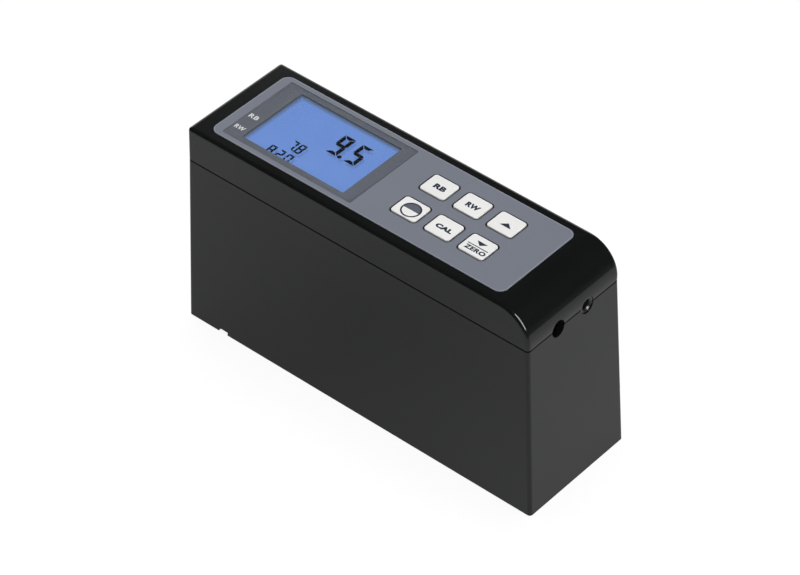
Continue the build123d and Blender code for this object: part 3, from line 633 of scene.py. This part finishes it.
def inner_finishes():
    """What lies inside: optics, boards, display parts, cells and cables."""
    optics = ((0.008, 0.008, 0.009), (0.014, 0.014, 0.015))
    frame_black = ((0.01, 0.01, 0.011), (0.017, 0.017, 0.018))
    guide = ((0.7, 0.74, 0.8), (0.8, 0.83, 0.88))
    rubber = ((0.4, 0.26, 0.26), (0.5, 0.33, 0.32))
    chip = ((0.012, 0.012, 0.013), (0.02, 0.02, 0.021))
    lead = ((0.42, 0.02, 0.02), (0.5, 0.03, 0.03))
    sensor = ((0.5, 0.5, 0.51), (0.6, 0.6, 0.62))
    sensor_lines = (4000.0, 4000.0, 4000.0)
    contact = ((0.55, 0.54, 0.5), (0.66, 0.65, 0.61))
    contact_lines = (6000.0, 300.0, 300.0)
    return [
        moulded_plastic("optics_black", *optics, rough=(0.55, 0.7), grain=1600.0, depth=30),
        moulded_plastic("frame_black", *frame_black, rough=(0.4, 0.55), grain=2200.0, depth=10),
        moulded_plastic("light_guide", *guide, rough=(0.3, 0.4), grain=1500.0, depth=10),
        moulded_plastic("contact_rubber", *rubber, rough=(0.7, 0.8), grain=2000.0, depth=30),
        moulded_plastic("chip_black", *chip, rough=(0.4, 0.5), grain=3200.0, depth=10),
        moulded_plastic("lead_red", *lead, rough=(0.35, 0.45), grain=900.0, depth=20),
        worked_metal("sensor_metal", *sensor, rough=(0.25, 0.35), lines=sensor_lines, depth=8),
        worked_metal("contact_steel", *contact, rough=(0.25, 0.35), lines=contact_lines, depth=10),
        clear_glass("lamp_glass", (0.97, 0.96, 0.9)),
        clear_glass("lens_glass", (0.95, 0.98, 0.98)),
        clear_glass("filter_glass", (0.45, 0.72, 0.45)),
        circuit_board("board_green"),
        battery_jacket("cell_jacket"),
        ribbed_cable("cable_grey"),
    ]


def dress_nodes():
    """Gives each CAD node its finish."""
    finishes = {made.name: made.material for made in casing_finishes() + inner_finishes()}
    finish_of = {name: finish for finish, names in NODES_BY_FINISH.items() for name in names}
    for name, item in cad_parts.items():
        item.data.materials.clear()
        item.data.materials.append(finishes[finish_of[name]])
        item.data.polygons.foreach_set("material_index", np.zeros(len(item.data.polygons), np.int32))


def ink(name, dark, light, roughness=0.5):
    """Printing ink: two close tones over fine grain, with no gloss."""
    made = moulded_plastic(name, dark, light, rough=(roughness, roughness + 0.1), grain=5000.0, depth=3)
    made.shader.inputs["Specular IOR Level"].default_value = 0.0
    return made.material


def placed(name, data):
    """An object in the scene that holds the given data."""
    made = bpy.data.objects.new(name, data)
    bpy.context.scene.collection.objects.link(made)
    return made


def new_piece(name, points, faces):
    """A mesh object from an array of points, in metres, and lists of corner numbers."""
    mesh = bpy.data.meshes.new(name)
    mesh.from_pydata(points.tolist(), [], faces)
    return placed(name, mesh)


def points_of(mesh):
    """The points of a mesh as an array with a row for each."""
    places = np.empty(3 * len(mesh.vertices))
    mesh.vertices.foreach_get("co", places)
    return places.reshape(-1, 3)


def finish_piece(made, material, body):
    """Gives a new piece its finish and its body."""
    made.data.materials.clear()
    made.data.materials.append(material)
    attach(made, body)


def prisms(name, outlines, bottom, top):
    """Thin upright prisms: each outline is a ring of (x, y) carried straight up, in mm.

    A ring that runs clockwise, with an area below zero by the sum of its cross products, is turned
    round first. Its faces are the bottom, turned over, the top, and a four-sided wall per side.
    """
    points = []
    faces = []
    start = 0
    for outline in outlines:
        ring = np.asarray(outline, float)
        after = np.roll(ring, -1, axis=0)
        if np.sum(ring[:, 0] * after[:, 1] - after[:, 0] * ring[:, 1]) < 0:
            ring = ring[::-1]
        count = len(ring)
        points += [np.column_stack([ring, np.full(count, height)]) for height in (bottom, top)]
        low = start + np.arange(count)
        high = low + count
        walls = np.column_stack([low, np.roll(low, -1), np.roll(high, -1), high])
        faces += [low[::-1].tolist(), high.tolist(), *walls.tolist()]
        start += 2 * count
    return new_piece(name, np.concatenate(points) * MM, faces)


def arc(centre, radius, start, end, count):
    """Points on an arc, angles in degrees: the centre plus the radius along each direction."""
    angles = np.radians(np.linspace(start, end, count))
    return np.column_stack([centre[0] + radius * np.cos(angles), centre[1] + radius * np.sin(angles)])


def circle_line(centre, radius, width, pieces=48):
    """A drawn circle as a row of four-sided outlines between its outer and inner arc."""
    outer = arc(centre, radius + width / 2, 0, 360, pieces + 1)
    inner = arc(centre, radius - width / 2, 0, 360, pieces + 1)
    return np.stack([outer[:-1], outer[1:], inner[1:], inner[:-1]], axis=1)


def lettering(name, words, low, high, bottom, weight):
    """Words made a thin solid that fills the box from low to high, in mm.

    The letters' points are taken from their lowest corner, divided by their whole size and
    multiplied by the size of the box, along each axis.
    """
    curve = bpy.data.curves.new(name, "FONT")
    curve.body = words
    curve.offset = weight
    curve.resolution_u = LETTER_STEPS
    curve.extrude = INK / 2
    curve.space_character = LETTER_SPACING
    maker = placed(name + "_maker", curve)
    bpy.context.view_layer.update()
    mesh = bpy.data.meshes.new_from_object(maker.evaluated_get(bpy.context.evaluated_depsgraph_get()))
    bpy.data.objects.remove(maker)
    bpy.data.curves.remove(curve)
    mesh.name = name
    places = points_of(mesh)
    least = places.min(0)
    shares = (places - least) / (places.max(0) - least)
    size = np.array([high[0] - low[0], high[1] - low[1], INK])
    places = (np.array([low[0], low[1], bottom]) + shares * size) * MM
    mesh.vertices.foreach_set("co", places.ravel())
    return placed(name, mesh)


def join(name, items):
    """Joins printed pieces into one mesh: their points in a row, their corner numbers counted on."""
    points = []
    faces = []
    start = 0
    for item in items:
        points.append(points_of(item.data))
        faces += [[start + index for index in face.vertices] for face in item.data.polygons]
        start += len(item.data.vertices)
        bpy.data.objects.remove(item)
    return new_piece(name, np.concatenate(points), faces)


def key_legends():
    """Prints the function signs on the six keys; each rides on its own key."""
    dark = ink("legend_ink", (0.03, 0.036, 0.055), (0.036, 0.043, 0.064))
    grey = ink("contrast_ink", (0.105, 0.115, 0.14), (0.115, 0.125, 0.15))
    bottom = KEY_TOP - 0.5 * INK
    top = bottom + INK

    def moved(key, points):
        """Places points given from a key's middle."""
        return [(KEY_PLACES[key][0] + x, KEY_PLACES[key][1] + y) for x, y in points]

    def word(name, words, key, box, weight):
        """A word on a key, in a box given from the key's middle."""
        return lettering(name, words, *moved(key, box), bottom, weight)

    def print_on(key, made, material=dark):
        """Finishes a sign that rides on its key."""
        finish_piece(made, material, key + "_body")

    print_on("key_rb", word("legend_rb", "RB", "key_rb", RB_BOX, SHORT_WORD))
    print_on("key_rw", word("legend_rw", "RW", "key_rw", RW_BOX, SHORT_WORD))
    print_on("key_cal", word("legend_cal", "CAL", "key_cal", CAL_BOX, CAL_WORD))
    print_on("key_up", prisms("legend_up", [moved("key_up", UP_ARROW)], bottom, top))
    marks = [moved("key_zero", DOWN_ARROW), moved("key_zero", ZERO_LINE)]
    zero = [
        word("zero_word", "ZERO", "key_zero", ZERO_BOX, ZERO_WORD),
        prisms("zero_marks", marks, bottom, top),
    ]
    print_on("key_zero", join("legend_zero", zero))
    centre = moved("key_contrast", [DISC_CENTRE])[0]
    ring = circle_line(centre, DISC_RADIUS, DISC_LINE)
    print_on("key_contrast", prisms("legend_contrast_ring", ring, bottom, top))
    half = arc(centre, DISC_FIELD, 0, 180, 33)
    print_on("key_contrast", prisms("legend_contrast_half", [half], bottom, top), grey)


def figure(digit, corner, width, height, thick):
    """Outlines of one seven-bar figure.

    Outer bars are mitred: the outer edge runs the whole side and the inner edge is shorter by
    the bar's thickness at each end. The middle bar has pointed ends.
    """
    gap = BAR_GAP * thick
    middle = height / 2
    half = thick / 2
    side = [
        (0, middle + gap),
        (0, height - gap),
        (thick, height - thick - gap),
        (thick, middle + half + gap),
    ]
    top = [
        (gap, height),
        (width - gap, height),
        (width - thick - gap, height - thick),
        (thick + gap, height - thick),
    ]
    bars = {
        "a": top,
        "d": [(x, height - y) for x, y in top],
        "f": side,
        "e": [(x, height - y) for x, y in side],
        "b": [(width - x, y) for x, y in side],
        "c": [(width - x, height - y) for x, y in side],
        "g": [
            (gap, middle),
            (half + gap, middle + half),
            (width - half - gap, middle + half),
            (width - gap, middle),
            (width - half - gap, middle - half),
            (half + gap, middle - half),
        ],
    }
    return [np.array(bars[name], float) + corner for name in FIGURES[digit]]


def display_figures():
    """The reading, the two smaller readings and their faint shadow on the field."""
    outlines = []
    for digit, x, width in READING:
        outlines += figure(digit, LIT_LOW + (x, READING_Y), width, READING_HEIGHT, READING_BAR)
    for y, height, digits in SMALL_ROWS:
        for digit, x in digits:
            outlines += figure(digit, LIT_LOW + (x, y), SMALL_WIDTH, height, SMALL_BAR)
    for place, radius, corners in (READING_DOT, SMALL_DOT):
        outlines.append(arc(LIT_LOW + place, radius, 0, DOT_TURN, corners))
    dark = ink("figure_ink", (0.007, 0.007, 0.008), (0.009, 0.009, 0.01), 0.4)
    made = prisms("display_figures", outlines, DISPLAY_TOP + INK, DISPLAY_TOP + 2 * INK)
    finish_piece(made, dark, "casing")
    shade = lit_display("figure_shadow", glow=SHADOW_GLOWS).material
    shadow = [ring + SHADOW_SHIFT for ring in outlines]
    made = prisms("display_shadow", shadow, DISPLAY_TOP - 0.5 * INK, DISPLAY_TOP + 0.5 * INK)
    finish_piece(made, shade, "casing")


def display_labels():
    """The two white row labels on the dark frame of the display."""
    white = ink("label_ink", (0.72, 0.72, 0.7), (0.8, 0.8, 0.78))
    bottom = MASK_TOP - 0.5 * INK
    rows = [
        lettering("label_upper", "RB", *UPPER_LABEL, bottom, LABEL_WORD),
        lettering("label_lower", "RW", *LOWER_LABEL, bottom, LABEL_WORD),
    ]
    finish_piece(join("display_labels", rows), white, "casing")


def make_camera():
    """The photograph's camera.

    It looks from its azimuth and elevation at the target, and is then turned by the roll about
    the line of sight.
    """
    azimuth, elevation, roll = (math.radians(v) for v in (CAMERA_AZIMUTH, CAMERA_ELEVATION, CAMERA_ROLL))
    level = math.cos(elevation)
    out = Vector((math.sin(azimuth) * level, -math.cos(azimuth) * level, math.sin(elevation)))
    eye = (Vector(CAMERA_TARGET) + out * CAMERA_DISTANCE) * MM
    right = (-out).cross(Vector((0, 0, 1))).normalized()
    up = right.cross(-out)
    turned_right = right * math.cos(roll) + up * math.sin(roll)
    turned_up = up * math.cos(roll) - right * math.sin(roll)
    data = bpy.data.cameras.new("camera")
    data.sensor_width = SENSOR
    data.lens = FOCAL_PIXELS / FRAME_PIXELS * SENSOR
    data.clip_start = NEAR_CLIP * MM
    data.clip_end = FAR_CLIP * MM
    made = placed("camera", data)
    turn = Matrix((turned_right, turned_up, out)).transposed().to_4x4()
    made.matrix_world = Matrix.Translation(eye) @ turn
    bpy.context.scene.camera = made


def make_world():
    """White where the camera looks, grey at the horizon and dark overhead where gloss looks.

    A ray that a window's far side mirrors back out counts as gloss, not as a view through it.
    """
    world = bpy.data.worlds.new("studio")
    bpy.context.scene.world = world
    world.use_nodes = True
    tree = world.node_tree
    tree.nodes.clear()
    paths = node(tree, "ShaderNodeLightPath").outputs
    height = axes_of(tree, node(tree, "ShaderNodeTexCoord").outputs["Generated"])[2]
    sky = remap(tree, height, 0.0, FADE_HEIGHT, HORIZON, OVERHEAD)
    mirrored = math_node(tree, "MULTIPLY", paths["Is Transmission Ray"], paths["Glossy Depth"], clamp=True)
    through = math_node(tree, "SUBTRACT", paths["Is Transmission Ray"], mirrored)
    seen = math_node(tree, "MAXIMUM", paths["Is Camera Ray"], through)
    glossy = math_node(tree, "MAXIMUM", paths["Is Glossy Ray"], mirrored)
    gloss = math_node(tree, "MULTIPLY", sky, glossy)
    ambient = math_node(tree, "MULTIPLY", math_node(tree, "SUBTRACT", 1.0, glossy), AMBIENT)
    unseen = math_node(tree, "ADD", gloss, ambient)
    back = node(tree, "ShaderNodeBackground")
    back.inputs["Color"].default_value = (1.0, 1.0, 1.0, 1.0)
    link(tree, math_node(tree, "MAXIMUM", seen, unseen), back.inputs["Strength"])
    link(tree, back.outputs[0], node(tree, "ShaderNodeOutputWorld").inputs["Surface"])


def floor_material():
    """A pale floor, whitened where the camera and gloss see it, that keeps a soft shadow.

    In the gloss it is dimmer in a soft pool in front of the long side, where the object keeps
    the light off it: from the middle of the pool outwards the strength rises evenly. From
    below it is clear, so that the base can be looked at.
    """
    material = bpy.data.materials.new("floor")
    material.use_nodes = True
    tree = material.node_tree
    tree.nodes.clear()
    paths = node(tree, "ShaderNodeLightPath").outputs
    plain = node(tree, "ShaderNodeBsdfDiffuse")
    plain.inputs["Color"].default_value = FLOOR_GREY
    away = node(tree, "ShaderNodeVectorMath", operation="DISTANCE")
    link(tree, node(tree, "ShaderNodeTexCoord").outputs["Object"], away.inputs[0])
    away.inputs[1].default_value = POOL_MIDDLE
    gloss = remap(tree, away.outputs["Value"], 0.0, POOL_RADIUS, POOL_STRENGTH, ROUND_POOL)
    seen = math_node(tree, "MAXIMUM", paths["Is Camera Ray"], paths["Is Transmission Ray"])
    white = node(tree, "ShaderNodeEmission")
    strength = math_node(tree, "MAXIMUM", gloss, math_node(tree, "MULTIPLY", seen, FLOOR_WHITE))
    link(tree, strength, white.inputs["Strength"])
    shown = math_node(tree, "MULTIPLY", math_node(tree, "MAXIMUM", seen, paths["Is Glossy Ray"]), FLOOR_SHARE)
    above = mix_shader(tree, shown, plain.outputs[0], white.outputs[0])
    below = node(tree, "ShaderNodeNewGeometry").outputs["Backfacing"]
    clear = node(tree, "ShaderNodeBsdfTransparent").outputs[0]
    end = node(tree, "ShaderNodeOutputMaterial")
    link(tree, mix_shader(tree, below, above, clear), end.inputs["Surface"])
    return material


def make_floor():
    """The floor, a square just under the object."""
    corners = np.array([(-1, -1, 0), (1, -1, 0), (1, 1, 0), (-1, 1, 0)]) * FLOOR_REACH
    floor = new_piece("floor", corners, [[0, 1, 2, 3]])
    floor.location.z = -FLOOR_DROP
    floor.data.materials.append(floor_material())


def soft_light(name, place, target, size, power, shown=False):
    """An area light that faces a target: it lights diffusely, or only gloss and glass show it."""
    data = bpy.data.lights.new(name, "AREA")
    data.shape = "RECTANGLE"
    data.size, data.size_y = size
    data.energy = power
    made = placed(name, data)
    made.location = place
    made.rotation_euler = (Vector(target) - Vector(place)).to_track_quat("-Z", "Y").to_euler()
    made.visible_glossy = shown
    made.visible_diffuse = not shown
    made.visible_transmission = shown
    made.visible_camera = False


def make_lights():
    """Soft boxes overhead, in front and at the socket end, and two that only gloss and glass show.

    Those two give the glint on the roll's near corner and the pale line along the far edges.
    Places and sizes are in metres, and powers in watts.
    """
    middle = (0.0, 0.0, 0.04)
    soft_light("overhead", (-0.2, 0.2, 1.35), middle, (1.0, 1.0), 15.0)
    soft_light("front_fill", (0.62, -1.0, 0.42), middle, (0.3, 0.3), 4.0)
    soft_light("end_fill", (1.3, 0.5, 0.1), middle, (0.7, 0.7), 9.5)
    near_corner = (0.06, -0.02, 0.07)
    far_corner = (-0.06, 0.02, 0.07)
    soft_light("glint", (0.79, 0.08, 0.72), near_corner, (0.54, 0.98), 19.0, shown=True)
    soft_light("far_strip", (-0.84, 0.82, 0.38), far_corner, (1.3, 0.9), 5.0, shown=True)


make_camera()
make_world()
make_floor()
make_lights()
dress_nodes()
key_legends()
display_figures()
display_labels()

bpy.context.scene.view_settings.view_transform = "Standard"
